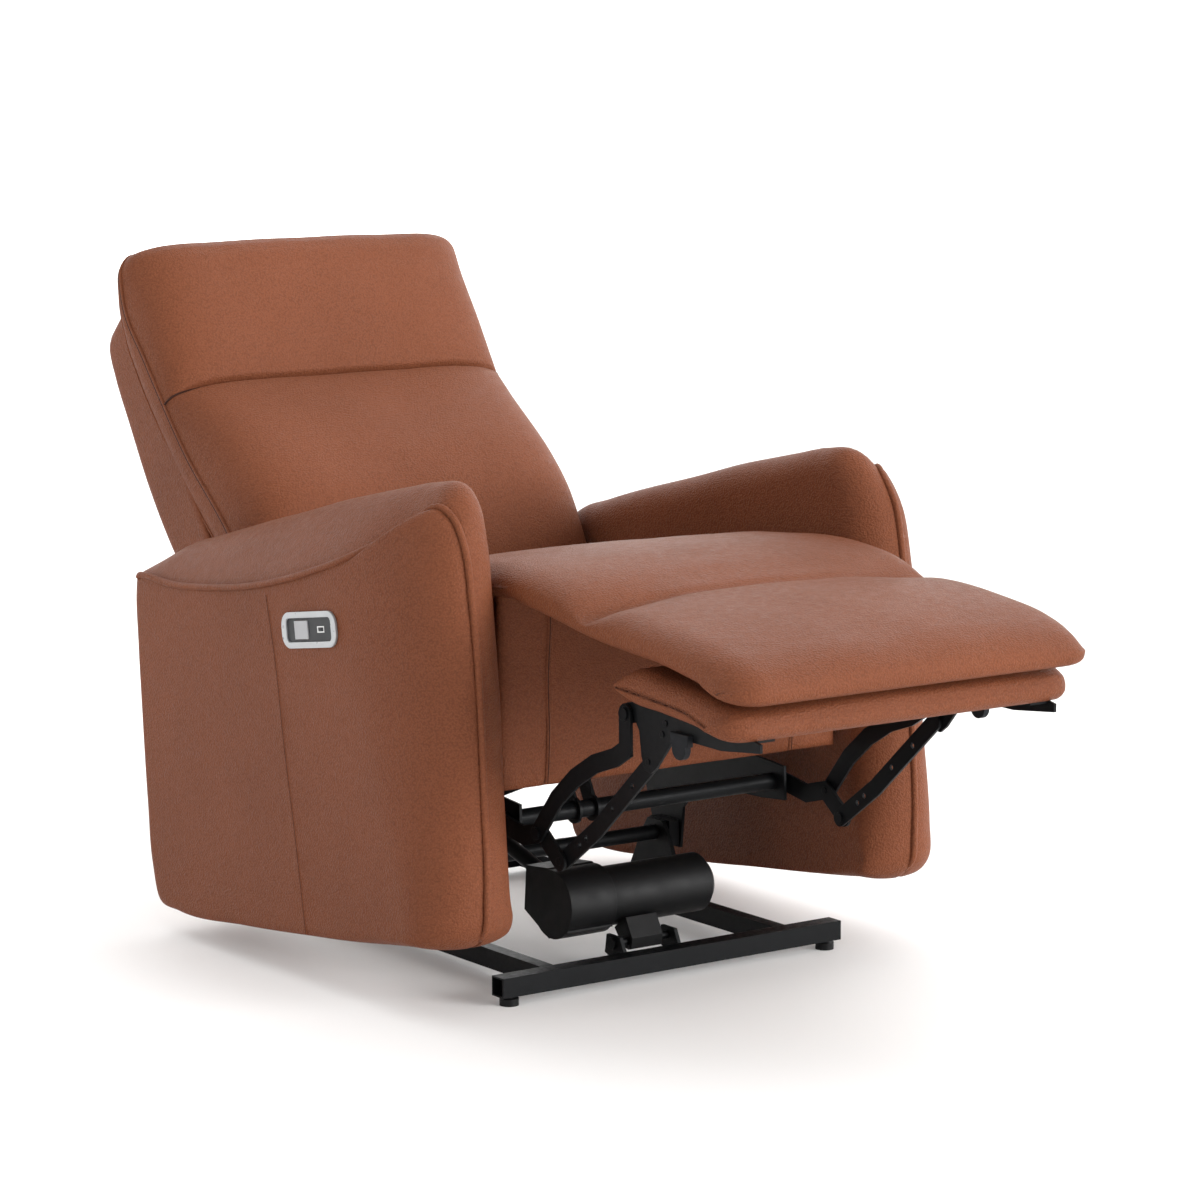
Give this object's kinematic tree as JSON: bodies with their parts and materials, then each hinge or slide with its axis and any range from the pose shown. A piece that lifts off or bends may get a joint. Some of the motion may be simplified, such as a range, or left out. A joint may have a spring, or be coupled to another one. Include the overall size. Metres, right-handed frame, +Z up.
{
  "type": "recliner armchair",
  "caption": "Power recliner armchair with rolled low arms, a leather seat pad that runs out over a folding linkage footrest, a split back cushion and an arm control.",
  "frame": {"origin": "on the floor, below the middle of the chair's box at rest", "axes": "+X to the right of the chair seen from in front (the control is on the -X arm), +Y from the footrest to the backrest, +Z up"},
  "size_m": [0.807, 1.4443, 0.8756],
  "materials": {
    "leather": "fine pebble grain, satin",
    "black_steel": "satin powder coat",
    "spring_steel": "drawn wire",
    "black_plastic": "fine textured",
    "timber": "sanded plywood",
    "silver_plastic": "satin silver",
    "grey_plastic": "smooth",
    "white_plastic": "smooth",
    "light_grey_plastic": "smooth",
    "bumper_rubber": "matt"
  },
  "bodies": {
    "base": {"front_cross_bar": "black_steel", "rear_cross_bar": "black_steel", "side_rails": "black_steel", "glide_feet": "black_plastic", "motor_clevis": "black_steel", "clevis_pin": "black_steel", "tilt_brackets": "black_steel"},
    "seat_body": {"tilt_shaft": "black_steel", "pivot_blocks": "black_steel", "side_plates": "black_steel", "seat_side_rails": "timber", "seat_front_rail": "timber", "seat_rear_rail": "timber", "seat_springs": "spring_steel", "seat_cushion": "leather", "front_panel": "leather", "arm_frames": "timber", "arm_pads": "leather", "arm_bolts": "black_steel", "recline_pins": "black_steel", "switch_bezel": "silver_plastic", "switch_face": "grey_plastic", "usb_port": "white_plastic", "switch_box": "black_plastic"},
    "rocker": {"rocker_button": "light_grey_plastic"},
    "backrest": {"back_frame": "timber", "back_brackets": "black_steel", "back_springs": "spring_steel", "lumbar_cushion": "leather", "head_cushion": "leather", "back_shell": "leather"},
    "drive_links": {"torque_tube": "black_steel", "rear_links": "black_steel", "knee_pins": "black_steel", "lower_pins": "black_steel", "drive_lever": "black_steel", "lever_pin": "black_steel"},
    "lift_links": {"lift_links": "black_steel"},
    "drilled_links": {"drilled_links": "black_steel"},
    "footrest": {"footrest_brackets": "black_steel", "top_pins": "black_steel", "upper_rivets": "black_steel", "bumpers": "bumper_rubber", "footrest_board": "timber", "footrest_pad": "leather", "board_screws": "black_steel"},
    "leg_pad": {"leg_cushion": "leather"},
    "push_rod": {"push_rod": "black_steel"},
    "motor": {"motor_can": "black_plastic", "gearbox": "black_plastic", "motor_lug": "black_plastic", "actuator_rail": "black_steel"},
    "carriage": {"carriage": "black_plastic"}
  },
  "joints": [
    {"name": "seat_tilt", "type": "hinge", "parent": "base", "child": "seat_body", "pos_m": [0, 0.047, 0.1145], "axis": [1, 0, 0], "range_deg": [0, 6]},
    {"name": "back_recline", "type": "hinge", "parent": "seat_body", "child": "backrest", "pos_m": [0, 0.358, 0.409], "axis": [1, 0, 0], "range_deg": [0, 33]},
    {"name": "footrest_drive", "type": "hinge", "parent": "seat_body", "child": "drive_links", "pos_m": [0, -0.174, 0.217], "axis": [1, 0, 0], "range_deg": [0, 87.9]},
    {"name": "lift_link_fold", "type": "hinge", "parent": "drive_links", "child": "lift_links", "pos_m": [0, -0.265, 0.218], "axis": [1, 0, 0], "range_deg": [-102, 0]},
    {"name": "drilled_link_fold", "type": "hinge", "parent": "drive_links", "child": "drilled_links", "pos_m": [0, -0.303, 0.189], "axis": [1, 0, 0], "range_deg": [-110, 0]},
    {"name": "footrest_fold", "type": "hinge", "parent": "lift_links", "child": "footrest", "pos_m": [0, -0.446, 0.393], "axis": [1, 0, 0], "range_deg": [0, 98]},
    {"name": "leg_pad_fold", "type": "hinge", "parent": "seat_body", "child": "leg_pad", "pos_m": [0, -0.381, 0.48], "axis": [1, 0, 0], "range_deg": [0, 81.1]},
    {"name": "push_rod_swing", "type": "hinge", "parent": "drive_links", "child": "push_rod", "pos_m": [-0.095, -0.1515, 0.2594], "axis": [1, 0, 0], "range_deg": [-88.5, 0]},
    {"name": "motor_swing", "type": "hinge", "parent": "base", "child": "motor", "pos_m": [0, -0.197, 0.044], "axis": [1, 0, 0], "range_deg": [-3.4, 0]},
    {"name": "carriage_travel", "type": "slide", "parent": "motor", "child": "carriage", "axis": [0, 0.9578, 0.2873], "range_m": [-0.0676, 0]},
    {"name": "rocker_press", "type": "hinge", "parent": "seat_body", "child": "rocker", "pos_m": [-0.401, -0.0097, 0.45127], "axis": [0, 0.989, -0.1478], "range_deg": [-4, 4], "stiffness_Nm_per_rad": 0.05}
  ],
  "couplings": [
    {"joint": "back_recline", "follows": "seat_tilt", "ratio": 5.5},
    {"joint": "motor_swing", "follows": "seat_tilt", "ratio": -0.55},
    {"joint": "lift_link_fold", "follows": "footrest_drive", "ratio": -1.1581},
    {"joint": "drilled_link_fold", "follows": "footrest_drive", "ratio": -1.2446},
    {"joint": "footrest_fold", "follows": "footrest_drive", "ratio": 1.1138},
    {"joint": "leg_pad_fold", "follows": "footrest_drive", "ratio": 0.9215},
    {"joint": "push_rod_swing", "follows": "footrest_drive", "ratio": -1.0023},
    {"joint": "carriage_travel", "follows": "footrest_drive", "m_per_rad": -0.0438}
  ]
}
